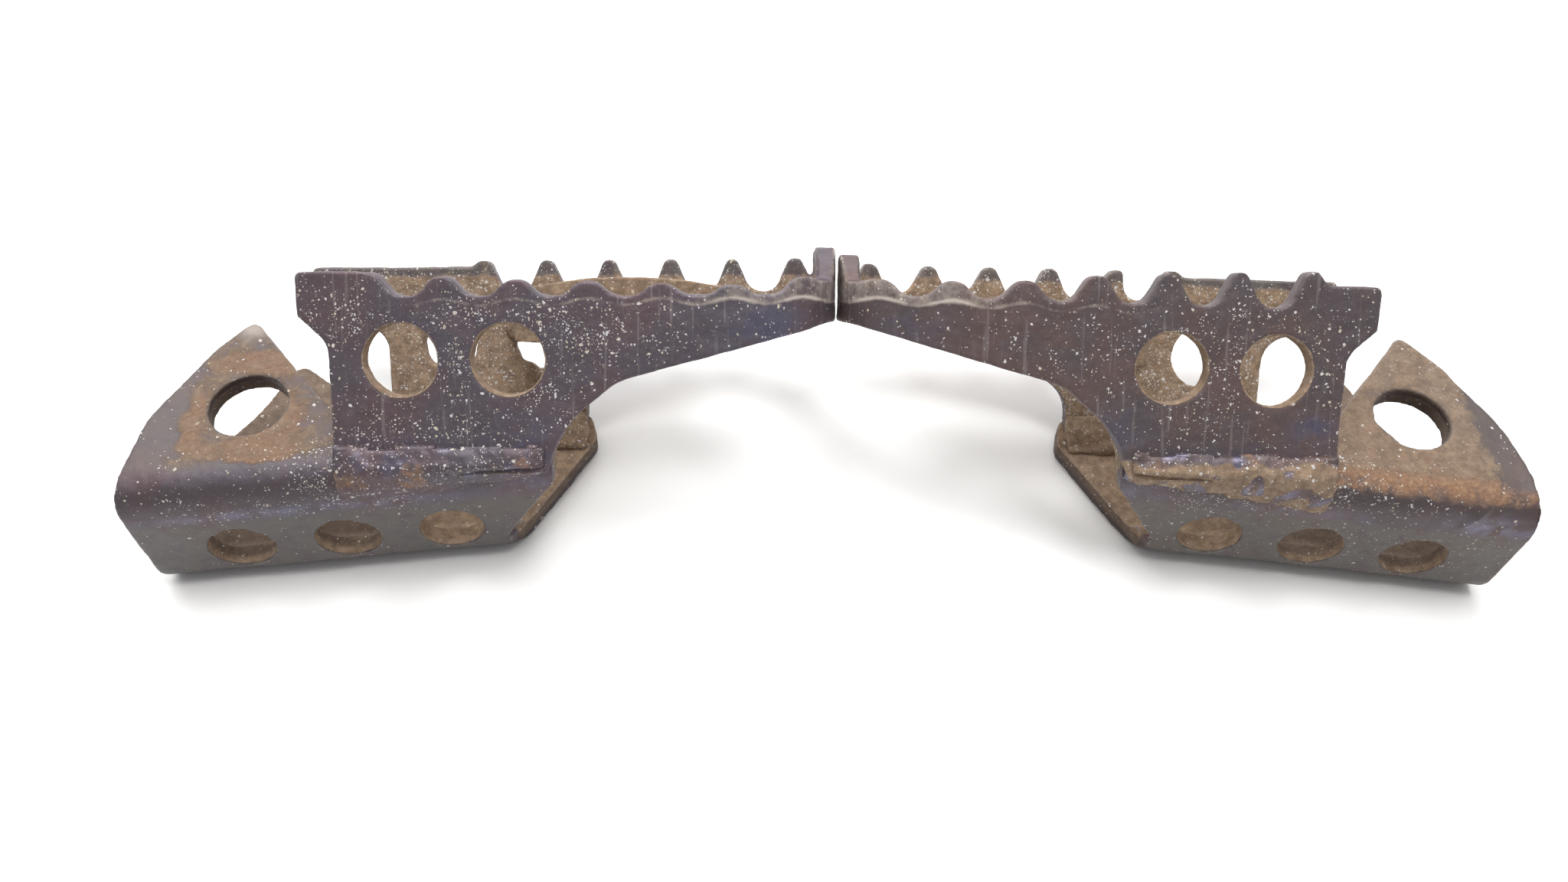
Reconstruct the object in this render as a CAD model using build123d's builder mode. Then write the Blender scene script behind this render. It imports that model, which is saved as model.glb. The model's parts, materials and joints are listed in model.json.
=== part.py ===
from build123d import *

import os
from math import atan, cos, hypot, radians, sin, sqrt, tan

# A matched pair of off-road motorcycle foot pegs. Each peg is a toothed hoop, bent from one strip,
# welded across the two flanges of a folded U bracket, with a short cleat bar inside the hoop.
# The pegs are mirror images and lie tip to tip, each on the outer face of its rear flange.
#
# Frame: +Z up from the surface that the pegs lie on, +Y from the webs towards the ear tips, and
# X = 0 midway between the two tips. The left peg is drawn at -X and mirrored across Plane.YZ.

# ---- hoop -----------------------------------------------------------------------------------
strip_thickness = 3.5  # plate that the hoop is bent from
hoop_width = 38.8  # over the outer faces of the front and rear plates
hoop_reach = 72.4  # inboard side holes to the outside of the tip
tip_gap = 0.36  # between the two pegs' tip walls, along their lower edges
shoulder_start = 47.0  # inboard side holes to where the plates start to close in
shoulder_radius = 45.0
shoulder_turn = 20.0
corner_turn = 90.0 - shoulder_turn

arm_bottom = 7.2  # underside of the arm that runs inboard of the neck
neck_inboard = 11.6
tip_bottom = 5.2  # underside of the tip wall above the side holes
# Each plate has an arm inboard of the side holes, with a flat top. Its underside runs down from the
# tip to the knee, steeper to the haunch, then down the neck's outboard edge.
front_plate = {"arm": 16.4, "flat": 14.4, "knee": (35.2, -3.7), "haunch": (23.4, -13.3), "radii": (10, 17)}
rear_plate = {"arm": 25.3, "flat": 15.2, "knee": (32.3, -3.9), "haunch": (26.0, -8.8), "radii": (8, 7)}

tooth_pitch = 11.76
first_tooth = -4.65  # from the inboard side hole
tooth_count = 7
tooth_top = 16.6
gullet_bottom = 10.4
tooth_tip_half = 1.0
tooth_flare = 0.42  # how fast a tooth widens on its way down
# Wear spreads a tooth: per millimetre worn off, its tip half-width and its flare grow by these.
worn_spread = 0.15
worn_flare = 0.13
tooth_shelf = 0.8  # from the arm's flat top to the flank of the first tooth
tooth_tip_radius = 2.2
gullet_radius = 3.4
# How much shorter than tooth_top each tooth is worn, from inboard to outboard.
front_wear = {
    "left": (2.4, 3.0, 3.5, 3.9, 4.3, 4.6, 3.4),
    "right": (0.0, 0.4, 1.0, 1.8, 2.9, 3.4, 3.6),
}
rear_wear = {
    "left": (0.0, 0.2, 0.2, 0.1, 0.0, 0.0, 0.0),
    "right": (0.2, 0.3, 0.4, 0.5, 0.7, 0.8, 0.9),
}
tab_top = {"left": 18.4, "right": 17.1}
tab_width = 10.0
tab_corner = 4.4
tab_seat = 12.6  # top of the tip wall either side of the tab

front_overlap = 0.8  # how far the front plate reaches below the front flange's outer face
side_hole_diameter = 11.7
side_hole_spacing = 17.4

neck_outboard = front_plate["haunch"][0]

# ---- how the hoop sits on the bracket ---------------------------------------------------------
hoop_roll = 45.0  # the tread is rolled back this far while the bracket lies on its flange
hoop_yaw = 1.5  # the tips point slightly towards +Y
tread_stand = 12.7  # side-hole axis on the front face above the front flange

# ---- bracket ----------------------------------------------------------------------------------
bracket_thickness = 4.0
bracket_width = 28.0  # over the outer faces of its two flanges
bend_radius = 6.0  # outside of the two folds
web_angle = 6.93  # plan angle of the web from the X axis
web_setback = 13.6  # web's outer face in front of the side-hole axis
web_inboard = 46.6  # inboard side holes to the inboard end of the bracket
web_outboard_low = 13.5
web_outboard_high = 24.0
web_hole_diameter = 11.0
web_hole_height = 10.4
web_hole_spacing = 17.9
web_hole_first = 4.8
web_hole_count = 3

pivot_diameter = 13.0
pivot_inboard = 28.7  # pivot axis from the inboard side hole
pivot_back = 0.6
# Ear outlines, as (inboard, back) offsets from the pivot axis: heel, shoulder, tip and, on the rear
# ear, the corner where it returns to the flange.
front_ear = ((15.8, -2.0), (9.3, 12.0), (3.6, 19.6))
rear_ear = ((17.8, 4.0), (9.6, 17.6), (5.0, 30.2), (-8.5, 20.0))
# Corner radii round each flange, from its inboard end in front of the web to its outboard end.
front_ear_radii = (0, 2, 18, 12, 1.6, 3, 0, 0)
rear_ear_radii = (0, 2, 18, 8, 2.4, 6, 5, 1.6, 3, 2, 0)
ear_slope = 49.0  # plan angle of the front ear's outboard edge
flange_lip = 8.6  # front flange kept behind the web's outer face, outboard of the ear
rear_belly = 27.6  # furthest outboard point of the rear flange

# ---- cleat bar and welds ----------------------------------------------------------------------
cleat_thickness = 3.2
cleat_start = 16.0
cleat_end = 54.5
cleat_depth = 18.5  # its middle run behind the front plate's outer face
cleat_bend = 5.0
cleat_bottom = {"left": 1.6, "right": -1.4}
cleat_height = 11.6
cleat_crown_radius = 90.0
cleat_lift = 1.8  # kept above the underside of the plates

root_bead = 4.0
front_bead_top = -14.2  # on the front plate's outer face, from the side-hole axis
front_bead_crown = 0.9  # how far it stands proud of that face
front_bead_taper = 3.4  # length over which it dies away at each end
cleat_bead = 3.0
cleat_bead_length = 5.2  # ends below the gullets

# ---- places worked out from those -------------------------------------------------------------
roll = radians(hoop_roll)
yaw = radians(hoop_yaw)
hole_height = bracket_width + tread_stand
# The yaw turns the tip wall away from the middle of the pair by this much at its lower edge.
tip_swing = sin(yaw) * (hoop_width / 2 * cos(roll) + tip_bottom * sin(roll))
tread_origin_x = -(hoop_reach * cos(yaw) - tip_swing + tip_gap / 2)

tread = Plane(
    origin=(tread_origin_x, 0, hole_height),
    x_dir=(cos(yaw), sin(yaw), 0),
    z_dir=(-sin(yaw) * sin(roll), cos(yaw) * sin(roll), cos(roll)),
)  # local x outboard, y from the front plate to the rear plate, z towards the teeth
front_face = Plane(origin=tread.origin, x_dir=tread.x_dir, z_dir=-tread.y_dir)
tip_face = Plane(origin=tread.origin, x_dir=tread.y_dir, z_dir=tread.x_dir)
floor_plane = Plane(origin=(tread_origin_x, 0, 0))

web_turn = radians(web_angle)
web_origin = (tread_origin_x, -web_setback, 0)
web_section = Plane(
    origin=web_origin,
    x_dir=(-sin(web_turn), cos(web_turn), 0),
    z_dir=(cos(web_turn), sin(web_turn), 0),
)  # local x back from the web's outer face, y up
web_face = Plane(
    origin=web_origin,
    x_dir=(cos(web_turn), sin(web_turn), 0),
    z_dir=(sin(web_turn), -cos(web_turn), 0),
)  # local x outboard along the web, y up, z out of its outer face
far = 4 * hoop_reach  # larger than either peg in every direction


def web_y(x):
    """The web's outer face at the local x of floor_plane."""
    return -web_setback + x * tan(web_turn)


def plate_y(depth, height):
    """Where a plane at that depth in the hoop crosses that height above the surface."""
    return depth / cos(roll) + (height - hole_height) * tan(roll)


def tread_point(y, height):
    """A point of a section across the tread, as (depth, height above the side holes)."""
    rise = height - hole_height
    return (y * cos(roll) - rise * sin(roll), y * sin(roll) + rise * cos(roll))


def toothed_edge(teeth, wear):
    """Points and corner radii along a row of teeth, from inboard to outboard."""
    points, radii = [], []
    half_pitch = tooth_pitch / 2
    for tooth in teeth:
        x = first_tooth + tooth * tooth_pitch
        top = tooth_top - wear[tooth]
        tip = tooth_tip_half + wear[tooth] * worn_spread
        height = top - gullet_bottom
        flare = tooth_flare + wear[tooth] * worn_flare
        foot = min(tip + height * flare, half_pitch - 0.6)
        # Length that a rounded corner takes from each side, for a radius of one.
        corner_reach = tan((radians(90) - atan((foot - tip) / height)) / 2)
        flank = hypot(foot - tip, height)
        tip_limit = min(0.95 * tip, 0.45 * flank) / corner_reach
        tip_radius = min(tooth_tip_radius + wear[tooth] * tooth_flare, tip_limit)
        floor_radius = min(
            gullet_radius, 0.95 * (half_pitch - foot) / corner_reach, 0.55 * flank / corner_reach
        )
        points += [(x - foot, gullet_bottom), (x - tip, top), (x + tip, top), (x + foot, gullet_bottom)]
        radii += [floor_radius, tip_radius, tip_radius, floor_radius]
    return points, radii


def plate_outline(plate, teeth, wear):
    """Closed side profile of one plate of the hoop, down past the bracket."""
    arm, flat_top, haunch = plate["arm"], plate["flat"], plate["haunch"]
    clear_top = tooth_top + strip_thickness
    root = -(hole_height + hoop_width) * 1.5
    crest, crest_radii = toothed_edge(teeth, wear)
    past_tip = hoop_reach + strip_thickness
    wall_start = hoop_reach - strip_thickness - 0.1
    last_tip = (min(crest[-2][0], wall_start - 1.2), crest[-2][1])
    last_fall = (wall_start - last_tip[0]) / tooth_flare
    points = [
        (-neck_inboard, root),
        (-neck_inboard, arm_bottom - 4.4),
        (-arm, arm_bottom),
        (-arm, flat_top),
        (crest[1][0] - max(crest[1][1] - flat_top, 0) * tooth_flare - tooth_shelf, flat_top),
        *crest[1:-2],
        last_tip,
        (wall_start, max(tab_seat, last_tip[1] - last_fall)),
        (wall_start, clear_top),
        (past_tip, clear_top),
        (past_tip, tip_bottom),
        (hoop_reach - 2.0, tip_bottom),
        plate["knee"],
        haunch,
        (haunch[0], root),
    ]
    radii = [0, 5.0, 0.8, 1.2, 1.0, *crest_radii[1:-2], 0.5, 0, 0, 0, 0, 3.0, *plate["radii"], 0]
    return points, radii


def trim(plane, depth, outline, radii):
    """Cuts away everything outside the outline, from the plane to that depth."""
    with BuildSketch(plane) as waste:
        Rectangle(far, far)
        with BuildLine():
            FilletPolyline(*outline, radius=radii, close=True)
        make_face(mode=Mode.SUBTRACT)
    extrude(waste.sketch, amount=depth, mode=Mode.SUBTRACT)


def mount_bracket():
    """The U bracket: a web with three lightening holes and two bored ears."""
    pivot = (-pivot_inboard, pivot_back)
    front, rear = (
        [(pivot[0] - inboard, pivot[1] + back) for inboard, back in corners]
        for corners in (front_ear, rear_ear)
    )
    rear_edge = plate_y(hoop_width, bracket_thickness)
    web_corner = (-web_inboard, web_y(-web_inboard))
    web_front = web_corner[1] - bend_radius  # clear in front of the web everywhere
    lip_inboard = -neck_inboard
    lip_y = web_y(lip_inboard) + flange_lip
    slope_foot = front[-1][0] + (front[-1][1] - lip_y) / tan(radians(ear_slope))
    depth = hoop_width + bracket_width

    front_outline = [
        (-web_inboard, web_front),
        web_corner,
        *front,
        (slope_foot, lip_y),
        (web_outboard_high, web_y(web_outboard_high) + flange_lip),
        (web_outboard_high, web_front),
    ]
    rear_outline = [
        (-web_inboard, web_front),
        web_corner,
        *rear,
        (-neck_inboard - 4.0, rear_edge),
        (rear_belly - 1.6, rear_edge),
        (rear_belly, rear_edge - 6.0),
        (web_outboard_low + 1.0, web_y(web_outboard_low) + 1.0),
        (web_outboard_low, web_front),
    ]

    with BuildPart() as bracket:
        with BuildSketch(web_section.offset(-web_inboard - bracket_width)):
            with Locations((depth / 2, bracket_width / 2)):
                RectangleRounded(depth, bracket_width, bend_radius)
            with Locations((depth / 2 + bracket_thickness, bracket_width / 2)):
                inside = bracket_width - 2 * bracket_thickness
                RectangleRounded(depth, inside, bend_radius - bracket_thickness, mode=Mode.SUBTRACT)
        extrude(amount=web_inboard + neck_outboard + 3 * bracket_width)

        upper_zone = floor_plane.offset(bracket_width - bend_radius)
        trim(upper_zone, bend_radius, front_outline, front_ear_radii)
        trim(floor_plane, bend_radius, rear_outline, rear_ear_radii)
        with BuildSketch(web_face.offset(1)):
            with BuildLine():
                Polyline(
                    (web_outboard_low / cos(web_turn), bend_radius),
                    (far / 2, bend_radius),
                    (far / 2, bracket_width - bend_radius),
                    (web_outboard_high / cos(web_turn), bracket_width - bend_radius),
                    close=True,
                )
            make_face()
            with Locations((-web_inboard / cos(web_turn) - far / 4, bracket_width / 2)):
                Rectangle(far / 2, bracket_width - 2 * bend_radius)
        extrude(amount=-depth, mode=Mode.SUBTRACT)

        with BuildSketch(floor_plane.offset(-1)):
            with Locations(pivot):
                Circle(pivot_diameter / 2)
        extrude(amount=bracket_width + 2, mode=Mode.SUBTRACT)
        with BuildSketch(web_face.offset(1)):
            for hole in range(web_hole_count):
                with Locations((web_hole_first - hole * web_hole_spacing, web_hole_height)):
                    Circle(web_hole_diameter / 2)
        extrude(amount=-(bracket_thickness + 2), mode=Mode.SUBTRACT)
    return bracket.part


def tread_hoop(bracket, side):
    """The toothed strip: front plate, rounded tip and rear plate in one piece."""
    half_width = hoop_width / 2
    plan = Plane(
        origin=tread.from_local_coords((0, half_width, -hole_height - hoop_width)),
        x_dir=tread.x_dir,
        z_dir=tread.z_dir,
    )
    inboard_end = -(rear_plate["arm"] + 2 * strip_thickness)
    turn = radians(shoulder_turn)
    shoulder_x = shoulder_start + shoulder_radius * sin(turn)
    corner_radius = (hoop_reach - shoulder_x) / (1 - sin(turn))

    with BuildPart() as hoop:
        with BuildSketch(plan):
            for inset, mode in ((0, Mode.ADD), (strip_thickness, Mode.SUBTRACT)):
                with BuildLine():
                    start = (inboard_end, inset - half_width)
                    straight = Line(start, (shoulder_start, inset - half_width))
                    shoulder = JernArc(straight @ 1, (1, 0), shoulder_radius - inset, shoulder_turn)
                    corner = JernArc(shoulder @ 1, shoulder % 1, corner_radius - inset, corner_turn)
                    Line(corner @ 1, (hoop_reach - inset, 0))
                    Line((inboard_end, 0), start)
                    mirror(about=Plane.XZ)
                make_face(mode=mode)
        extrude(amount=hole_height + hoop_width + tab_top[side])

        front_outline = plate_outline(front_plate, range(tooth_count), front_wear[side])
        rear_outline = plate_outline(rear_plate, range(1, tooth_count), rear_wear[side])
        trim(front_face.offset(strip_thickness), -(strip_thickness + half_width), *front_outline)
        trim(front_face.offset(-half_width), -(strip_thickness + half_width), *rear_outline)
        tab_base = half_width - tab_width / 2
        with BuildSketch(tip_face.offset(hoop_reach - strip_thickness - 0.2)):
            with Locations((half_width, (tab_seat + 2 * tab_top[side]) / 2)):
                Rectangle(2 * hoop_width, 2 * tab_top[side] - tab_seat)
            with BuildLine():
                FilletPolyline(
                    (tab_base - 2.0, tab_seat),
                    (tab_base, tab_top[side]),
                    (tab_base + tab_width, tab_top[side]),
                    (tab_base + tab_width + 2.0, tab_seat),
                    radius=[0, tab_corner, tab_corner, 0],
                    close=True,
                )
            make_face(mode=Mode.SUBTRACT)
        extrude(amount=2 * strip_thickness, mode=Mode.SUBTRACT)

        with BuildSketch(front_face.offset(1)):
            with Locations((0, 0), (side_hole_spacing, 0)):
                Circle(side_hole_diameter / 2)
        extrude(amount=-(hoop_width + 2), mode=Mode.SUBTRACT)

        # The plates end where they meet the flanges: the front one on the front flange's outer
        # face and fold, the rear one on the rear flange's inner face.
        front_end = bracket_width - front_overlap
        middle = tread_point(plate_y(half_width, front_end), front_end)
        with BuildSketch(tip_face.offset(-far / 2)):
            with BuildLine():
                Polyline(
                    middle,
                    (half_width, -far),
                    (-far, -far),
                    tread_point(-far, front_end),
                    close=True,
                )
            make_face()
        extrude(amount=far, mode=Mode.SUBTRACT)
        with BuildSketch(floor_plane.offset(bracket_thickness)):
            Rectangle(far, far)
        extrude(amount=-far, mode=Mode.SUBTRACT)
        add(bracket, mode=Mode.SUBTRACT)
    return hoop.part


def centre_cleat(hoop, side):
    """A flat bar on edge inside the hoop, with one end turned to each plate."""
    middle = (cleat_start + cleat_end) / 2
    bottom = cleat_bottom[side]
    knee_x, knee_z = front_plate["knee"]
    with BuildPart() as cleat:
        with BuildSketch(tread.offset(bottom)):
            with BuildLine():
                FilletPolyline(
                    (cleat_start, hoop_width - strip_thickness / 2),
                    (cleat_start, cleat_depth),
                    (cleat_end, cleat_depth),
                    (cleat_end, strip_thickness / 2 + 1.0),
                    radius=cleat_bend,
                )
            trace(line_width=cleat_thickness)
        extrude(amount=cleat_height)
        with BuildSketch(front_face):
            with Locations((middle, bottom + cleat_height - cleat_crown_radius)):
                Circle(cleat_crown_radius)
        extrude(amount=-hoop_width, mode=Mode.INTERSECT)
        with BuildSketch(front_face):
            with BuildLine():
                Polyline(
                    (knee_x, -hoop_width),
                    (knee_x, knee_z + cleat_lift),
                    (hoop_reach, tip_bottom + cleat_lift),
                    (hoop_reach, -hoop_width),
                    close=True,
                )
            make_face()
        extrude(amount=-hoop_width, mode=Mode.SUBTRACT)
        add(hoop, mode=Mode.SUBTRACT)
    return cleat.part


def front_root_weld(bracket, hoop):
    """Bead that fills the step between the front plate's outer face and the bracket's fold."""

    def section(x, crown):
        toe = tread_point(web_y(x), bracket_width - bend_radius)
        heart = tread_point(web_y(x) + bend_radius / 2, bracket_width - bend_radius / 2)
        return [
            (0, front_bead_top),
            (-crown * 0.6, front_bead_top - 1.4),
            (-crown, front_bead_top - 3.4),
            (toe[0] - 2.6 - crown * 0.7, toe[1] + 2.4),
            toe,
            heart,
            (strip_thickness / 2, front_bead_top - 0.6),
        ]

    inboard, outboard = -neck_inboard + 0.4, neck_outboard - 0.8
    rows = (
        (inboard, 0.2),
        (inboard + front_bead_taper, front_bead_crown),
        (outboard - front_bead_taper, front_bead_crown),
        (outboard, 0.2),
    )
    with BuildPart() as weld:
        for x, crown in rows:
            with BuildSketch(tip_face.offset(x)):
                with BuildLine():
                    Polyline(*section(x, crown), close=True)
                make_face()
        loft(ruled=True)
        add(hoop, mode=Mode.SUBTRACT)
        add(bracket, mode=Mode.SUBTRACT)
    return weld.part


def rear_root_weld(bracket, hoop):
    """Bead in the corner between the rear flange's inner face and the rear plate."""
    inner_y = plate_y(hoop_width - strip_thickness, bracket_thickness)
    rise = root_bead * sin(roll)
    run = root_bead * tan(roll) * sin(roll)
    points = [
        (inner_y - root_bead, bracket_thickness),
        (inner_y - root_bead * 0.2, bracket_thickness + rise * 0.75),
        (inner_y + run, bracket_thickness + rise),
        (inner_y + run + 1.0, bracket_thickness),
    ]
    with BuildPart() as weld:
        with BuildSketch(tip_face.offset(-neck_inboard + 0.5)):
            with BuildLine():
                Polyline(*[tread_point(y, z) for y, z in points], close=True)
            make_face()
        extrude(amount=neck_inboard + rear_plate["haunch"][0] - 1.0)
        add(hoop, mode=Mode.SUBTRACT)
        add(bracket, mode=Mode.SUBTRACT)
    return weld.part


def cleat_weld(hoop, cleat, bottom, corner, along, across):
    """Short bead up the corner between the cleat's turned end and a plate of the hoop."""
    x, y = corner
    with BuildPart() as weld:
        with BuildSketch(tread.offset(bottom)):
            with BuildLine():
                Polyline(
                    (x - along * 1.0, y - across * 2.0),
                    (x + along * cleat_bead, y - across * 2.0),
                    (x + along * cleat_bead, y),
                    (x + along * cleat_bead * 0.45, y + across * cleat_bead * 0.6),
                    (x, y + across * cleat_bead),
                    (x - along * 1.0, y + across * cleat_bead),
                    close=True,
                )
            make_face()
        extrude(amount=cleat_bead_length)
        add(hoop, mode=Mode.SUBTRACT)
        add(cleat, mode=Mode.SUBTRACT)
    return weld.part


def peg_pieces(side):
    """Every piece of one peg, drawn on the left."""
    bracket = mount_bracket()
    hoop = tread_hoop(bracket, side)
    cleat = centre_cleat(hoop, side)
    half = cleat_thickness / 2
    outside = cleat_end + half - shoulder_start
    closing = shoulder_radius - sqrt(shoulder_radius**2 - outside**2)
    inboard_bottom = cleat_bottom[side] + 0.4
    outboard_bottom = tip_bottom - 0.6
    rear_corner = (cleat_start - half, hoop_width - strip_thickness)
    front_corner = (cleat_end + half, strip_thickness + closing)
    return {
        "mount_bracket": bracket,
        "tread_hoop": hoop,
        "centre_cleat": cleat,
        "front_root_weld": front_root_weld(bracket, hoop),
        "rear_root_weld": rear_root_weld(bracket, hoop),
        "cleat_inboard_weld": cleat_weld(hoop, cleat, inboard_bottom, rear_corner, -1, -1),
        "cleat_outboard_weld": cleat_weld(hoop, cleat, outboard_bottom, front_corner, 1, 1),
    }


drawn = {}
for side in ("left", "right"):
    for name, piece in peg_pieces(side).items():
        drawn[f"{side}_{name}"] = piece if side == "left" else mirror(piece, about=Plane.YZ)

# The origin is under the middle of the pair.
boxes = [piece.bounding_box() for piece in drawn.values()]
middle_y = (min(box.min.Y for box in boxes) + max(box.max.Y for box in boxes)) / 2
centring = Location((0, -middle_y, 0))
print(f"moved by {-middle_y:.3f} mm along Y")

os.makedirs("parts", exist_ok=True)
for name, piece in drawn.items():
    with BuildPart() as node:
        add(piece.moved(centring))
    node.part.label = name
    export_step(node.part, f"parts/{name}.step")
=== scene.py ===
import json

import bpy
import numpy as np
from mathutils import Matrix, Vector, noise


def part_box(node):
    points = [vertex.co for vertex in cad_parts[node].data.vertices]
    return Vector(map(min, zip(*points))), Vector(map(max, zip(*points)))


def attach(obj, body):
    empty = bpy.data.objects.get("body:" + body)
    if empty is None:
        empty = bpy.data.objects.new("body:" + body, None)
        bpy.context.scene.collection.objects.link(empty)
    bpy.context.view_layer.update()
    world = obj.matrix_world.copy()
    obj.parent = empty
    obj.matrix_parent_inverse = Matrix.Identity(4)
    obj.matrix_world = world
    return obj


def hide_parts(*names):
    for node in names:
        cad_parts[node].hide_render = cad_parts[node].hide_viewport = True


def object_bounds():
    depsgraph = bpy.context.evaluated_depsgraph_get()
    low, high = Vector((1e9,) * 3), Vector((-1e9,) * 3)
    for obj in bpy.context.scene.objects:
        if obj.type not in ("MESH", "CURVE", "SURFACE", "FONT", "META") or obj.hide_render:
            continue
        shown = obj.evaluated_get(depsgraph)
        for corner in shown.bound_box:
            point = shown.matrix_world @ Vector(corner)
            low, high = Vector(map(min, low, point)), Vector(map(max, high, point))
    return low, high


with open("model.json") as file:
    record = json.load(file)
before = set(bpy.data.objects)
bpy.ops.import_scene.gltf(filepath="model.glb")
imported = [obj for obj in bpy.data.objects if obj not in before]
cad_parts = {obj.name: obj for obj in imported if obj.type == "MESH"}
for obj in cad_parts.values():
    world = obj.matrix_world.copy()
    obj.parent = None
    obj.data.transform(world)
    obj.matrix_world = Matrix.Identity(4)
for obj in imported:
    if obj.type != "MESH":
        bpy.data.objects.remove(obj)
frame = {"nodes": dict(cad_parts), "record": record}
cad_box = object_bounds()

# A worn pair of off-road foot pegs. Each CAD node is replaced by a copy with rounded, dented edges,
# and every copy carries point attributes that say where it is rusty, dirty, speckled, blue or bare,
# and where painted shade and painted highlights go.
# Lengths in these functions are in millimetres on the left peg; the right peg is its mirror image.

MM = 0.001
PIVOT_FROM_HOLES = Vector((-28.7, 0.6, 0.0))  # pivot axis from the inboard side hole, in plan
HOLE_HEIGHT = 40.7  # side holes above the table
HOOP_YAW = np.radians(1.5)
HOOP_ROLL = np.radians(45.0)
HOOP_WIDTH = 38.8
SPINE_END = 54.0  # where the hoop's round end starts
TOOTH_PITCH = 11.76
FIRST_TOOTH = -4.65
LIGHT_LINE_HEIGHT = 9.3  # the light line under the gullets, over the side holes
LIGHT_LINE_WAVE = 0.55
SIDE_HOLE_SPACING = 17.4
BRACKET_WIDTH = 28.0
WEB_ANGLE = np.radians(6.93)
WEB_SETBACK = 13.6
FIRST_WEB_HOLE = 4.8
WEB_HOLE_PITCH = 17.9
WEB_HOLE_HEIGHT = 10.4
TABLE_SIZE = 6.0  # metres
SIDES = ("left", "right")

mounts = {mount["name"]: Vector(mount["pos_m"]) for mount in frame["record"]["mounts"]}
origin = mounts["left_pivot_bore"] / MM - PIVOT_FROM_HOLES
origin.z = 0

tread_x = np.array((np.cos(HOOP_YAW), np.sin(HOOP_YAW), 0))
tread_z = np.array(
    (-np.sin(HOOP_YAW) * np.sin(HOOP_ROLL), np.cos(HOOP_YAW) * np.sin(HOOP_ROLL), np.cos(HOOP_ROLL))
)
tread_y = np.cross(tread_z, tread_x)


# ---- mesh helpers ------------------------------------------------------------------------------
def read_vectors(collection, name, count):
    """One row of three numbers for each point of a mesh collection."""
    values = np.empty(count * 3)
    collection.foreach_get(name, values)
    return values.reshape(-1, 3)


def smooth_values(mesh, values, rounds):
    """Averages each point's values with its neighbours', that many times."""
    edges = np.empty(len(mesh.edges) * 2, np.int64)
    mesh.edges.foreach_get("vertices", edges)
    a, b = edges.reshape(-1, 2).T
    count = np.bincount(edges, minlength=len(mesh.vertices)).astype(float)[:, None]
    for _ in range(rounds):
        total = np.zeros_like(values)
        np.add.at(total, a, values[b])
        np.add.at(total, b, values[a])
        values = 0.5 * values + 0.5 * total / np.maximum(count, 1)
    return values


def noise_at(points, size, seed):
    """Smooth noise from -1 to 1 with features of that size."""
    offset = Vector((seed * 17.3, seed * 5.1, seed * 9.7))
    return np.array([noise.noise(Vector(point) / size + offset) for point in points])


def step(low, high, values):
    """A smooth step from 0 at low to 1 at high."""
    t = np.clip((values - low) / (high - low), 0, 1)
    return t * t * (3 - 2 * t)


def patch(x, y, spots):
    """Soft oval patches, each (x, y, half width, half height, strength)."""
    total = np.zeros_like(x)
    for cx, cy, rx, ry, strength in spots:
        total += strength * np.exp(-(((x - cx) / rx) ** 2) - ((y - cy) / ry) ** 2)
    return total


class Surface:
    """Places and normals of a mesh's points, mirrored onto the left peg, in millimetres."""

    def __init__(self, mesh, side):
        count = len(mesh.vertices)
        self.side = side
        self.world = read_vectors(mesh.vertices, "co", count) / MM
        self.flip = np.array((1.0 if side == "left" else -1.0, 1.0, 1.0))
        points = self.world * self.flip - np.array(origin)
        self.normal = read_vectors(mesh.vertex_normals, "vector", count) * self.flip
        self.x, self.y, self.z = points.T
        from_hole = points - np.array((0, 0, HOLE_HEIGHT))
        self.tx, self.ty, self.tz = from_hole @ tread_x, from_hole @ tread_y, from_hole @ tread_z
        # How far a point faces out of the hoop, away from a spine along its middle.
        spine_x, spine_y = np.minimum(self.tx, SPINE_END), HOOP_WIDTH / 2
        out = np.stack((self.tx - spine_x, self.ty - spine_y), 1)
        out /= np.linalg.norm(out, axis=1)[:, None] + 1e-6
        self.outward = (self.normal @ tread_x) * out[:, 0] + (self.normal @ tread_y) * out[:, 1]
        self.web_depth = (self.y + WEB_SETBACK) * np.cos(WEB_ANGLE) - self.x * np.sin(WEB_ANGLE)
        self.along_web = self.x * np.cos(WEB_ANGLE) + (self.y + WEB_SETBACK) * np.sin(WEB_ANGLE)
        self.pivot_x = self.x - PIVOT_FROM_HOLES.x
        self.pivot_y = self.y - PIVOT_FROM_HOLES.y
        self.pivot_radius = np.hypot(self.pivot_x, self.pivot_y)
        smoothed = smooth_values(mesh, self.world, 14)
        bulge = ((self.world - smoothed) * (self.normal * self.flip)).sum(1)
        self.convex = step(0.04, 0.28, bulge)
        self.hollow = step(0.04, 0.22, -bulge)


# ---- wear on the shape -------------------------------------------------------------------------
def bend_tooth(surface, tooth, amount):
    """Pushes one rear tooth's tip inboard, as the right peg's third tooth is."""
    middle = FIRST_TOOTH + tooth * TOOTH_PITCH
    near = step(5.0, 3.0, np.abs(surface.tx - middle)) * step(30, 33, surface.ty)
    lift = step(12.0, 16.6, surface.tz) * near
    return np.outer(lift * amount, tread_x * surface.flip)


def clog_hole(surface, hole_x, amount):
    """Draws the rim of a side hole in the rear plate inwards, as dried mud does."""
    across, up = surface.tx - hole_x, surface.tz
    radius = np.hypot(across, up)
    near = step(8.4, 6.0, radius) * step(29, 33, surface.ty)
    lumps = 0.8 + 0.5 * noise_at(surface.world, 3.0, seed=21) + 0.5 * step(0, -5, up)
    pull = -near * lumps * amount / np.maximum(radius, 1)
    return np.outer(pull * across, tread_x * surface.flip) + np.outer(pull * up, tread_z * surface.flip)


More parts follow.
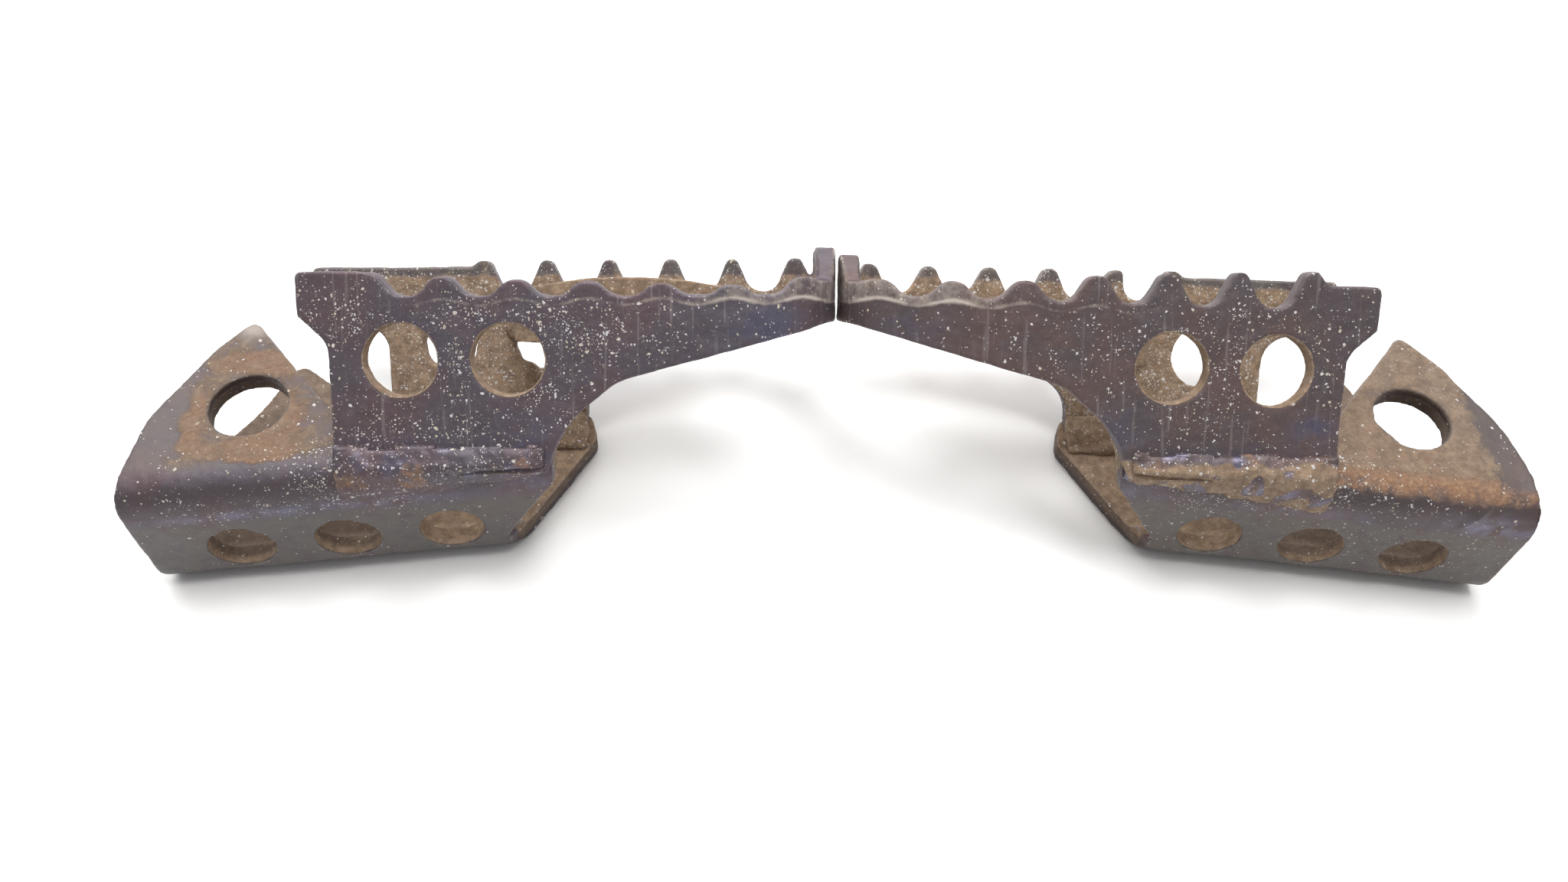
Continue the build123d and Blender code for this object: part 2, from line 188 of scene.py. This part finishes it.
# Each of these gives every point's shift, then the depth of dents and the depth of grain.
def hoop_wear(surface):
    """Bends a tooth on the right, and muddies the rear side holes on the left."""
    if surface.side == "right":
        return bend_tooth(surface, 2, -1.1), 0.16, 0.05
    return clog_hole(surface, 0, 1.0) + clog_hole(surface, SIDE_HOLE_SPACING, 1.3), 0.16, 0.05


def bracket_wear(surface):
    """Dents the bracket, and on the right rolls a burr across the inboard end of its fold."""
    shift = np.zeros_like(surface.world)
    if surface.side == "right":
        line = surface.along_web + 35.0 + 0.55 * (surface.z - 22.0)
        crease = np.exp(-((line / 0.8) ** 2))
        burr = crease * step(20, 22.5, surface.z) * step(9, 5, surface.web_depth)
        beyond = step(-0.5, -6, line) * step(19, 24, surface.z) * step(8, 5, surface.web_depth)
        shift += surface.normal * surface.flip * (0.35 * burr - 0.45 * beyond)[:, None]
    return shift, 0.20, 0.06


def cleat_wear(_surface):
    """Only dents and grain."""
    return 0, 0.20, 0.09


def weld_wear(surface):
    """Swells a weld so that its toes run out over the plates, and sinks the front one's lower toe."""
    toe = step(-18.5, -21.0, surface.tz) * step(16, 10, surface.ty)
    swell = surface.normal * surface.flip * 0.75
    return swell + np.outer(toe, tread_y * surface.flip), 0.5, 0.18


def worn_copy(node, body, voxel, rounding, wear):
    """A copy of a CAD node with rounded edges and dents, which stands for it."""
    side = node.split("_")[0]
    copy = frame["nodes"][node].copy()
    copy.data = copy.data.copy()
    bpy.context.scene.collection.objects.link(copy)
    remesh = copy.modifiers.new("remesh", "REMESH")
    remesh.mode = "VOXEL"
    remesh.voxel_size = voxel * MM
    soften = copy.modifiers.new("soften", "SMOOTH")
    soften.factor = 0.5
    soften.iterations = rounding
    depsgraph = bpy.context.evaluated_depsgraph_get()
    mesh = bpy.data.meshes.new_from_object(copy.evaluated_get(depsgraph))
    bpy.data.objects.remove(copy)
    piece = bpy.data.objects.new(f"worn_{node}", mesh)
    bpy.context.scene.collection.objects.link(piece)

    surface = Surface(mesh, side)
    shift, dent, grain = wear(surface)
    seed = 1 if side == "left" else 2
    places = surface.world
    outward = surface.normal * surface.flip
    depth = dent * (noise_at(places, 9.0, seed) + 0.6 * noise_at(places, 3.5, seed + 3) - 0.35)
    depth += grain * (noise_at(places, 1.3, seed + 7) - 0.2)
    moved = places + shift + outward * depth[:, None]
    # Nothing leaves the CAD box.
    low, high = (np.array(corner) / MM for corner in (cad_box if "weld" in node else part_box(node)))
    moved = np.clip(moved, low, high)
    mesh.vertices.foreach_set("co", (moved * MM).ravel())
    mesh.update()
    mesh.shade_smooth()
    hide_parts(node)
    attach(piece, body)
    return piece, surface


# ---- where each finish is ------------------------------------------------------------------------
# Soft patches, each (x, y, half width, half height, strength). The hoop's are in its front plate's
# own frame, the ears' are seen from above around the pivot, and the fold's run along the web.
# EAR_DIRT is one strength for all of an ear.
HOOP_FLECKS = {
    "left": (
        (15, 7.4, 9, 2.2, 0.9),
        (27, 3.4, 6, 4.2, 1.0),
        (36, 5.0, 4.2, 3.0, 0.75),
        (43.5, 2.8, 3.4, 3.2, 0.5),
        (9, 0, 2.4, 9, 0.75),
        (24, -6, 5, 4, 0.5),
        (-10, 7, 7, 4, 0.7),
        (-5, -12, 8, 6, 0.4),
        (9, -13, 12, 5, 0.32),
    ),
    "right": (
        (6, 8, 7, 4, 0.3),
        (10, 0, 5, 12, 0.34),
        (24, 2, 8, 8, 0.22),
        (36, 1, 2, 2.5, 0.6),
        (44, 4, 1, 4, 0.3),
        (-8, 4, 6, 8, 0.3),
    ),
}
# Blue patches on the front plate: heat tint near the root, and near x 60 a painted highlight where the
# plate curves round to its end.
HOOP_TINT_AND_HIGHLIGHT = {
    "left": (
        (60, 4, 6, 5, 1.0),
        (2, -16, 12, 3.0, 0.4),
        (20, -14, 6, 5, 0.6),
        (9, 6, 9, 4, 0.2),
    ),
    "right": (
        (-7, -9, 3.5, 2.6, 0.9),
        (0, -15, 14, 2.2, 0.35),
        (26, -12, 4, 5, 0.5),
        (60, 5, 6, 4, 0.35),
    ),
}
ROOT_COPPER = ((8, -15.4, 12, 1.0, 0.7),)
EAR_RUST = {
    "left": ((6, -4, 5, 8, 1.0), (0, 9.5, 9, 3.4, 1.0), (-8, -3, 3, 8, 0.8), (2, -10, 9, 3, 0.8)),
    "right": ((2, -9, 14, 5, 1.0), (9, 0, 5, 9, 0.8), (-2, 8, 8, 5, 0.5)),
}
EAR_PALE = {
    "left": ((-3.4, 17, 5, 3.8, 0.95),),
    "right": ((-7, 9, 2.4, 9, 0.35), (4, 16, 4, 4, 0.35)),
}
EAR_DIRT = {"left": 0.42, "right": 0.62}
FOLD_FLECKS = {
    "left": (
        (-12, 25, 8, 4, 1.0),
        (-2, 23, 6, 4, 0.7),
        (-26, 21, 10, 1.6, 0.5),
        (-36, 24, 6, 3, 0.2),
    ),
    "right": ((-6, 25, 15, 4, 0.6), (8, 20, 8, 4, 0.35), (-30, 14, 14, 6, 0.15)),
}
# Painted highlight: a blue band of reflected light along the bracket's fold.
FOLD_PAINTED_SHEEN = {
    "left": ((-28, 19.8, 16, 1.3, 1.0), (-4, 20.5, 16, 2.0, 0.5), (20, 22, 5, 5, 0.6)),
    "right": ((-40, 21.5, 8, 3.2, 1.0), (-6, 20.5, 16, 2.0, 0.5), (20, 22, 5, 5, 0.6)),
}


def root_mud(s):
    """How muddy the front root is, rising unevenly up the right peg's plate from its weld."""
    if s.side == "left":
        return 0 * s.tz
    line = s.tz + 1.3 * noise_at(s.world, 4.0, seed=31)
    return step(-14.6, -17.2, line) * step(20, 10, s.ty)


def hoop_finish(s):
    """Finish masks of the toothed hoop."""
    front = step(0.4, 0.75, s.outward) * step(24, 14, s.ty)
    rear = step(24, 30, s.ty)
    inside = step(0.3, 0.7, -s.outward)
    in_hole = sum(step(6.4, 5.9, np.hypot(s.tx - x, s.tz)) for x in (0, SIDE_HOLE_SPACING))
    wave = np.cos((s.tx - FIRST_TOOTH) / TOOTH_PITCH * 2 * np.pi)
    over_line = s.tz - LIGHT_LINE_HEIGHT - LIGHT_LINE_WAVE * wave
    light_line = np.exp(-((over_line / 0.4) ** 2)) * step(-2, 6, s.tx)
    crest = step(8.0, 9.6, s.tz) * step(-1.5, 0.2, over_line)
    flecks = patch(s.tx, s.tz, HOOP_FLECKS[s.side]) * 0.8 + 0.10
    # Heat tint, and a painted highlight on the hoop's curve near its end.
    tint_and_highlight = patch(s.tx, s.tz, HOOP_TINT_AND_HIGHLIGHT[s.side])
    tooth_base = rear * step(14.5, 11.5, s.tz) * step(9.0, 11.0, s.tz)
    inside = inside * (1 - 0.75 * step(11.5, 14.0, s.tz))
    rust = inside * step(10, 4, s.tz) * 0.35
    if s.side == "left":
        pale = crest * (0.16 + 0.4 * step(34, 62, s.tx)) + light_line * 0.42
        rust = rust + tooth_base * 0.3 + front * patch(s.tx, s.tz, ROOT_COPPER)
    else:
        pale = crest * (0.12 + 0.5 * step(34, 56, s.tx)) + light_line * 0.4 * step(10, 30, s.tx)
        rust = rust + tooth_base * 0.6
    outer = step(0.1, 0.5, s.outward)
    dirt = inside * 0.95 + in_hole * 0.9 + s.hollow * 0.25 + tooth_base * 0.35 + root_mud(s) * 0.8
    return {
        "flecks": front * flecks + inside * 0.4 + rear * 0.3,
        "dirt": np.clip(dirt, 0, 1),
        "rust": np.clip(rust, 0, 1),
        "blue_tint_and_sheen": np.clip(front * tint_and_highlight, 0, 1),
        "pale": np.clip(pale * outer, 0, 1),
        "green": rear * step(12.0, 14.5, s.tz) * 0.8,
        "bare": s.convex * 0.8,
        "score": front,
    }


def bracket_finish(s):
    """Finish masks of the mounting bracket."""
    between = step(1.2, 2.4, s.z) * step(BRACKET_WIDTH - 1.2, BRACKET_WIDTH - 2.4, s.z)
    inside = step(1.2, 2.6, s.web_depth) * between
    top = step(BRACKET_WIDTH - 1.2, BRACKET_WIDTH - 0.4, s.z) * step(3.0, 6.5, s.web_depth)
    web = step(1.0, 0.3, s.web_depth) * step(21, 17, s.z)
    fold = step(17, 21, s.z) * step(8, 5, s.web_depth)
    outboard = step(-14, -6, s.x)
    flat_cut = step(0.6, 0.35, np.abs(s.normal[:, 2]))
    cut_edge = step(12.5, 14.5, s.x) * step(4.6, 4.0, s.z) * flat_cut
    in_bore = step(6.9, 6.5, s.pivot_radius)
    from_web_holes = [
        np.hypot(s.along_web - FIRST_WEB_HOLE + hole * WEB_HOLE_PITCH, s.z - WEB_HOLE_HEIGHT)
        for hole in range(3)
    ]
    web_holes = sum(step(5.9, 5.4, distance) for distance in from_web_holes)
    web_holes = web_holes * step(5.0, 4.0, s.web_depth) * step(0.2, 0.7, s.web_depth)
    rust = top * np.clip(patch(s.pivot_x, s.pivot_y, EAR_RUST[s.side]), 0, 1)
    if s.side == "right":
        rust = rust + fold * step(24, 27, s.z) * 0.5
    pale = top * patch(s.pivot_x, s.pivot_y, EAR_PALE[s.side])
    flecks = patch(s.along_web, s.z, FOLD_FLECKS[s.side]) * step(10, 7, s.web_depth) + 0.05
    # Painted highlight: a blue sheen band along the fold.
    blue_tint_and_sheen = fold * patch(s.along_web, s.z, FOLD_PAINTED_SHEEN[s.side])
    grey_rim = top * step(9, 13, -s.pivot_x) * 0.5
    # Painted shade deep inside the channel, stronger towards its inboard end.
    channel_shade = inside * step(3, -10, s.x)
    # Painted shade: a dark band across the fold below its highlight.
    fold_shade = fold * step(20.5, 22.5, s.z) * step(27.2, 25.5, s.z)
    dirt = inside * 0.92 + in_bore * 0.25 + web_holes * 0.9 + top * EAR_DIRT[s.side] - grey_rim
    # Painted shade in the pivot bore, deep in the channel and across the fold; a darker tone on the ear
    # tops and the flange's cut edge.
    dark_tone_and_shade = in_bore * step(2, 5, s.z) + cut_edge * 0.8 + channel_shade * 0.75 + top * 0.52 + fold_shade * 0.4
    return {
        "flecks": flecks * (1 - inside) + inside * 0.08,
        "dirt": np.clip(dirt, 0, 1),
        "rust": np.clip(rust + inside * 0.4 * outboard + web_holes * 0.3 - grey_rim, 0, 1),
        "blue_tint_and_sheen": np.clip(blue_tint_and_sheen, 0, 1),
        "pale": np.clip(pale, 0, 1),
        "green": np.clip(web * 0.9 + top * 0.5, 0, 1),
        "bare": np.clip(s.convex - cut_edge * 0.6, 0, 1),
        "dark_tone_and_shade": np.clip(dark_tone_and_shade, 0, 1),
    }


def cleat_finish(s):
    """Finish masks of the bar inside the hoop: dried mud over rust."""
    one = np.ones_like(s.x)
    return {"flecks": one * 0.15, "dirt": one * 0.85, "rust": one * 0.3, "bare": s.convex * 0.6}


def weld_finish(s):
    """Finish masks of a weld: the front one is like the plate on the left, and muddy on the right."""
    lumps = noise_at(s.world, 3.0, seed=11)
    left = s.side == "left"
    front = step(16, 10, s.ty)
    ridge = step(0.05, 0.4, lumps)
    return {
        "flecks": front * (0.42 if left else 0.3) + (1 - front) * 0.3,
        "dirt": np.clip(root_mud(s) * (0.9 - ridge) + (1 - front) * 0.9 + front * left * 0.12, 0, 1),
        "rust": np.clip(0.3 + noise_at(s.world, 5.0, seed=13), 0, 1) * (0.5 if left else 0.7),
        "blue_tint_and_sheen": ridge * front * (0.6 if left else 0.9),
        "bare": s.convex * 0.5,
    }


MASKS = ("flecks", "dirt", "rust", "blue_tint_and_sheen", "pale", "green", "bare", "dark_tone_and_shade", "score")


def write_masks(mesh, masks):
    """Stores each mask on the mesh's points, under the name that the material reads."""
    for name in MASKS:
        values = masks.get(name, np.zeros(len(mesh.vertices)))
        layer = mesh.attributes.new(name, "FLOAT", "POINT")
        layer.data.foreach_set("value", np.clip(values, 0, 1).astype(np.float32))


# ---- materials -----------------------------------------------------------------------------------
# Linear colours of the coats that lie over the two base tones of each peg.
MOTTLE = (0.06, 0.048, 0.055)
STREAK = (0.20, 0.17, 0.175)
GRAIN = (0.22, 0.18, 0.17)
SCORE = (0.26, 0.23, 0.23)
GREEN_GREY = (0.138, 0.128, 0.116)
# Heat tint, also used as a painted highlight along the bracket's fold and the hoop's curve.
HEAT_BLUE_AND_SHEEN = (0.15, 0.145, 0.215)
DARK_RUST = (0.22, 0.115, 0.06)
LIGHT_RUST = (0.34, 0.205, 0.12)
DARK_MUD = (0.19, 0.128, 0.082)
LIGHT_MUD = (0.34, 0.242, 0.160)
MUD_SPECK = (0.12, 0.085, 0.06)
DULL_PALE = (0.34, 0.29, 0.25)
CREAM = (0.56, 0.50, 0.45)
BARE_STEEL = (0.30, 0.275, 0.265)
# Painted shade in the bore, channel and fold; also the darker tone of the ear tops and cut edge.
SHADE_AND_DARK_TONE = (0.07, 0.052, 0.046)
GREY_FLECK = (0.62, 0.61, 0.62)
TAN_FLECK = (0.52, 0.46, 0.36)
BUMP_DEPTH = 0.28  # millimetres


class Nodes:
    """A small helper that adds and links shader nodes."""

    def __init__(self, name):
        self.material = bpy.data.materials.new(name)
        self.material.use_nodes = True
        self.tree = self.material.node_tree
        self.tree.nodes.clear()
        self.place = self.add("ShaderNodeTexCoord").outputs["Object"]

    def add(self, kind, **settings):
        node = self.tree.nodes.new(kind)
        for key, value in settings.items():
            setattr(node, key, value)
        return node

    def join(self, value, socket):
        if isinstance(value, bpy.types.NodeSocket):
            self.tree.links.new(value, socket)
        else:
            socket.default_value = value

    def math(self, operation, a, b=0.0, c=0.0, clamp=False):
        node = self.add("ShaderNodeMath", operation=operation, use_clamp=clamp)
        for value, socket in zip((a, b, c), node.inputs):
            self.join(value, socket)
        return node.outputs[0]

    def ramp(self, value, low, high):
        """0 below low, 1 above high, smooth between."""
        node = self.add("ShaderNodeMapRange", interpolation_type="SMOOTHSTEP")
        for number, socket in zip((value, low, high, 0.0, 1.0), node.inputs):
            self.join(number, socket)
        return node.outputs[0]

    def stretch(self, scale):
        node = self.add("ShaderNodeMapping")
        self.join(self.place, node.inputs["Vector"])
        node.inputs["Scale"].default_value = scale
        return node.outputs[0]

    def noise(self, size, detail, rough, warp=0.0, place=None):
        """Noise around 0.5 with features of that size in millimetres."""
        node = self.add("ShaderNodeTexNoise")
        self.join(place or self.place, node.inputs["Vector"])
        node.inputs["Scale"].default_value = 1 / (size * MM)
        node.inputs["Detail"].default_value = detail
        node.inputs["Roughness"].default_value = rough
        node.inputs["Distortion"].default_value = warp
        return node.outputs["Fac"]

    def mask(self, name):
        return self.add("ShaderNodeAttribute", attribute_name=name).outputs["Fac"]

    def mix(self, factor, a, b):
        node = self.add("ShaderNodeMix", data_type="RGBA")
        self.join(factor, node.inputs["Factor"])
        for value, socket in ((a, node.inputs["A"]), (b, node.inputs["B"])):
            self.join(value if isinstance(value, bpy.types.NodeSocket) else (*value, 1.0), socket)
        return node.outputs["Result"]

    def over(self, colour, mask, strength, coat):
        """The colour with a coat over it, as strong as the mask times the strength."""
        return self.mix(self.math("MULTIPLY", mask, strength), colour, coat)

    def broken(self, name, noise, gain, offset):
        """A mesh mask with noise added, so that its edge comes out ragged."""
        return self.math("ADD", self.mask(name), self.math("MULTIPLY_ADD", noise, gain, offset))

    def patchy(self, name, edge, low, high, full):
        """The part of a broken mask that lies where the mesh mask isn't empty."""
        return self.math("MULTIPLY", self.ramp(edge, low, high), self.ramp(self.mask(name), 0.02, full))

    def flecks(self, size, share, warp_size):
        """Irregular flecks: the share of cells that hold one follows the mask."""
        warp = self.add("ShaderNodeTexNoise")
        self.join(self.place, warp.inputs["Vector"])
        warp.inputs["Scale"].default_value = 1 / (warp_size * MM)
        warp.inputs["Detail"].default_value = 3.0
        push = self.add("ShaderNodeVectorMath", operation="MULTIPLY_ADD")
        self.join(warp.outputs["Color"], push.inputs[0])
        push.inputs[1].default_value = (0.9 * size * MM,) * 3
        self.join(self.place, push.inputs[2])
        cells = self.add("ShaderNodeTexVoronoi")
        self.join(push.outputs[0], cells.inputs["Vector"])
        cells.inputs["Scale"].default_value = 1 / (size * MM)
        apart = self.add("ShaderNodeSeparateColor")
        self.join(cells.outputs["Color"], apart.inputs[0])
        reach = self.math("MULTIPLY_ADD", apart.outputs[1], 0.3, 0.12)
        inside = self.ramp(self.math("SUBTRACT", reach, cells.outputs["Distance"]), 0.0, 0.06)
        present = self.math("LESS_THAN", apart.outputs[0], share)
        return self.math("MULTIPLY", inside, present)


def worn_steel(name, base, second):
    """Oxidised steel with rust, dried mud, pale flecks, painted shade and highlights, laid on by mesh
    masks.
    """
    n = Nodes(name)
    broad = n.noise(14.0, 3.0, 0.6, 0.4)
    mottle = n.noise(3.2, 6.0, 0.65, 0.6)
    grain = n.noise(0.7, 5.0, 0.7)
    fine = n.noise(0.22, 3.0, 0.6)
    streaks = n.noise(1.6, 4.0, 0.6, place=n.stretch((1.0, 0.22, 0.22)))
    scores = n.noise(0.9, 2.0, 0.4, place=n.stretch((1.0, 0.06, 0.06)))

    colour = n.mix(n.ramp(broad, 0.38, 0.62), base, second)
    colour = n.over(colour, n.ramp(mottle, 0.48, 0.78), 0.4, MOTTLE)
    colour = n.over(colour, n.ramp(streaks, 0.55, 0.8), 0.3, STREAK)
    colour = n.over(colour, n.ramp(grain, 0.5, 0.8), 0.35, GRAIN)
    score = n.math("MULTIPLY", n.mask("score"), n.ramp(scores, 0.62, 0.72))
    colour = n.over(colour, score, 0.4, SCORE)

    green = n.math("MULTIPLY", n.mask("green"), n.ramp(mottle, 0.25, 0.55))
    colour = n.over(colour, green, 0.85, GREEN_GREY)

    # Blue heat tint on the welds and the hoop's root, and painted highlights along the fold and the
    # hoop's curve.
    blue_tint_and_sheen = n.math("MULTIPLY", n.mask("blue_tint_and_sheen"), n.ramp(n.noise(4.0, 4.0, 0.6, 0.5), 0.34, 0.58))
    colour = n.over(colour, blue_tint_and_sheen, 0.8, HEAT_BLUE_AND_SHEEN)

    rust = n.patchy("rust", n.broken("rust", mottle, 1.1, -0.75), 0.08, 0.42, 0.15)
    rust_colour = n.mix(n.ramp(grain, 0.35, 0.7), DARK_RUST, LIGHT_RUST)
    colour = n.over(colour, rust, 0.88, rust_colour)

    dirt = n.patchy("dirt", n.broken("dirt", mottle, 1.2, -0.8), 0.05, 0.42, 0.2)
    dirt_colour = n.mix(n.ramp(n.noise(1.8, 5.0, 0.7), 0.35, 0.68), DARK_MUD, LIGHT_MUD)
    dirt_colour = n.over(dirt_colour, n.ramp(fine, 0.56, 0.72), 0.5, MUD_SPECK)
    colour = n.over(colour, dirt, 0.9, dirt_colour)

    cracks = n.noise(2.2, 6.0, 0.75)
    pale = n.patchy("pale", n.broken("pale", cracks, 1.3, -0.95), 0.0, 0.6, 0.2)
    pale_colour = n.mix(n.ramp(n.mask("pale"), 0.7, 1.0), DULL_PALE, CREAM)
    colour = n.over(colour, pale, 0.8, pale_colour)

    bare = n.ramp(n.broken("bare", n.noise(1.5, 5.0, 0.7), 1.0, -0.65), 0.25, 0.8)
    colour = n.over(colour, bare, 0.5, BARE_STEEL)
    # Painted shade, and the darker tone of the ear tops and the cut edge.
    colour = n.over(colour, n.mask("dark_tone_and_shade"), 0.75, SHADE_AND_DARK_TONE)

    clumps = n.ramp(n.noise(3.0, 5.0, 0.7, 0.8), 0.34, 0.6)
    density = n.math("MULTIPLY", n.mask("flecks"), clumps)
    large = n.flecks(0.85, n.math("MULTIPLY", density, 0.8), 0.5)
    middle = n.flecks(0.5, n.math("MULTIPLY", density, 1.1), 0.3)
    small = n.flecks(0.32, n.math("MULTIPLY", density, 1.0), 0.2)
    flecks = n.math("MAXIMUM", large, n.math("MAXIMUM", middle, small))
    fleck_colour = n.mix(n.ramp(mottle, 0.42, 0.6), GREY_FLECK, TAN_FLECK)
    colour = n.over(colour, flecks, 0.85, fleck_colour)

    covered = n.math("MAXIMUM", n.math("MAXIMUM", rust, dirt), n.math("MAXIMUM", pale, flecks))
    shader = n.add("ShaderNodeBsdfPrincipled")
    n.join(colour, shader.inputs["Base Color"])
    shine = n.math("MULTIPLY_ADD", blue_tint_and_sheen, -0.2, 0.48)
    rough = n.math("MULTIPLY_ADD", covered, 0.35, n.math("MULTIPLY_ADD", grain, 0.12, shine))
    n.join(rough, shader.inputs["Roughness"])
    metal = n.math("MULTIPLY_ADD", blue_tint_and_sheen, 0.25, 0.5)
    n.join(n.math("MULTIPLY_ADD", covered, -0.5, metal, clamp=True), shader.inputs["Metallic"])

    height = n.math("MULTIPLY_ADD", mottle, 0.25, n.math("MULTIPLY", grain, 0.35))
    height = n.math("MULTIPLY_ADD", fine, n.math("MULTIPLY_ADD", dirt, 0.5, 0.08), height)
    crust = n.math("MULTIPLY_ADD", grain, 0.8, 0.1)
    height = n.math("MULTIPLY_ADD", n.math("ADD", dirt, rust), crust, height)
    height = n.math("MULTIPLY_ADD", flecks, 0.25, height)
    bump = n.add("ShaderNodeBump")
    bump.inputs["Strength"].default_value = 0.6
    bump.inputs["Distance"].default_value = BUMP_DEPTH * MM
    n.join(height, bump.inputs["Height"])
    n.join(bump.outputs[0], shader.inputs["Normal"])
    output = n.add("ShaderNodeOutputMaterial")
    n.join(shader.outputs[0], output.inputs["Surface"])
    return n.material


def table_top():
    """Matt white table with a very faint mottle."""
    n = Nodes("table_top")
    shader = n.add("ShaderNodeBsdfPrincipled")
    tone = n.mix(n.noise(60.0, 4.0, 0.6), (0.80, 0.80, 0.795), (0.84, 0.845, 0.84))
    n.join(tone, shader.inputs["Base Color"])
    shader.inputs["Roughness"].default_value = 0.55
    output = n.add("ShaderNodeOutputMaterial")
    n.join(shader.outputs[0], output.inputs["Surface"])
    return n.material


# ---- pieces --------------------------------------------------------------------------------------
steel = {
    "left": worn_steel("left_oxidised_steel", (0.112, 0.078, 0.088), (0.094, 0.080, 0.096)),
    "right": worn_steel("right_oxidised_steel", (0.118, 0.080, 0.076), (0.096, 0.077, 0.083)),
}
# Of each kind of piece: voxel size in millimetres, rounds of smoothing, wear and finish.
WELD = (0.28, 9, weld_wear, weld_finish)
BUILD = {
    "mount_bracket": (0.36, 5, bracket_wear, bracket_finish),
    "tread_hoop": (0.34, 7, hoop_wear, hoop_finish),
    "centre_cleat": (0.30, 3, cleat_wear, cleat_finish),
    "front_root_weld": WELD,
    "rear_root_weld": WELD,
    "cleat_inboard_weld": WELD,
    "cleat_outboard_weld": WELD,
}
for side in SIDES:
    for part, (voxel, rounding, wear, finish) in BUILD.items():
        piece, surface = worn_copy(f"{side}_{part}", f"{side}_peg", voxel, rounding, wear)
        write_masks(piece.data, finish(surface))
        piece.data.materials.clear()
        piece.data.materials.append(steel[side])

# ---- table, light and camera ---------------------------------------------------------------------
bpy.ops.mesh.primitive_plane_add(size=TABLE_SIZE, location=(0, 0, 0))
table = bpy.context.object
table.name = "table"
table.data.materials.append(table_top())

# The room is darker in front of the pegs, so the folds show light and dark bands.
ROOM_FADE = (-0.75, 0.15, 0.26, 0.95)  # Y where it starts, where it ends, strength in front, behind
world = bpy.data.worlds.new("room")
world.use_nodes = True
room = world.node_tree
toward = room.nodes.new("ShaderNodeTexCoord")
split = room.nodes.new("ShaderNodeSeparateXYZ")
room.links.new(toward.outputs["Generated"], split.inputs[0])
fade = room.nodes.new("ShaderNodeMapRange")
fade.interpolation_type = "SMOOTHSTEP"
room.links.new(split.outputs["Y"], fade.inputs[0])
for number, socket in zip(ROOM_FADE, list(fade.inputs)[1:5]):
    socket.default_value = number
background = room.nodes["Background"]
background.inputs["Color"].default_value = (1.0, 0.99, 0.985, 1.0)
room.links.new(fade.outputs[0], background.inputs["Strength"])
bpy.context.scene.world = world


def window(name, place, size, power, tint):
    """A large soft area light that points at the pegs."""
    light = bpy.data.lights.new(name, "AREA")
    light.shape = "RECTANGLE"
    light.size, light.size_y = size
    light.energy = power
    light.color = tint
    lamp = bpy.data.objects.new(name, light)
    lamp.location = place
    lamp.rotation_euler = (-Vector(place)).to_track_quat("-Z", "Y").to_euler()
    bpy.context.scene.collection.objects.link(lamp)


window("back_window", (-0.35, 1.0, 0.95), (1.8, 1.0), 15.0, (1.0, 0.985, 0.97))
window("ceiling", (0.1, 0.1, 1.5), (1.0, 0.5), 20.0, (1.0, 0.995, 0.99))

# The camera was fitted to the pegs' outlines in the photograph.
CAMERA_SETBACK = -129.0  # along Y from the inboard side holes, in millimetres
lens = bpy.data.cameras.new("camera")
lens.sensor_width = 36.0
lens.lens = 27.72
lens.clip_start = 0.01
camera = bpy.data.objects.new("camera", lens)
forward = Vector((0.0263, 0.6018, -0.7982)).normalized()
right = Vector((0.9996, -0.0070, 0.0277))
up = right.cross(forward).normalized()
right = forward.cross(up)
turn = Matrix((right, up, -forward)).transposed().to_4x4()
camera.matrix_world = Matrix.Translation((-0.0147, (CAMERA_SETBACK + origin.y) * MM, 0.1912)) @ turn
bpy.context.scene.collection.objects.link(camera)
bpy.context.scene.camera = camera
bpy.context.scene.view_settings.view_transform = "Standard"
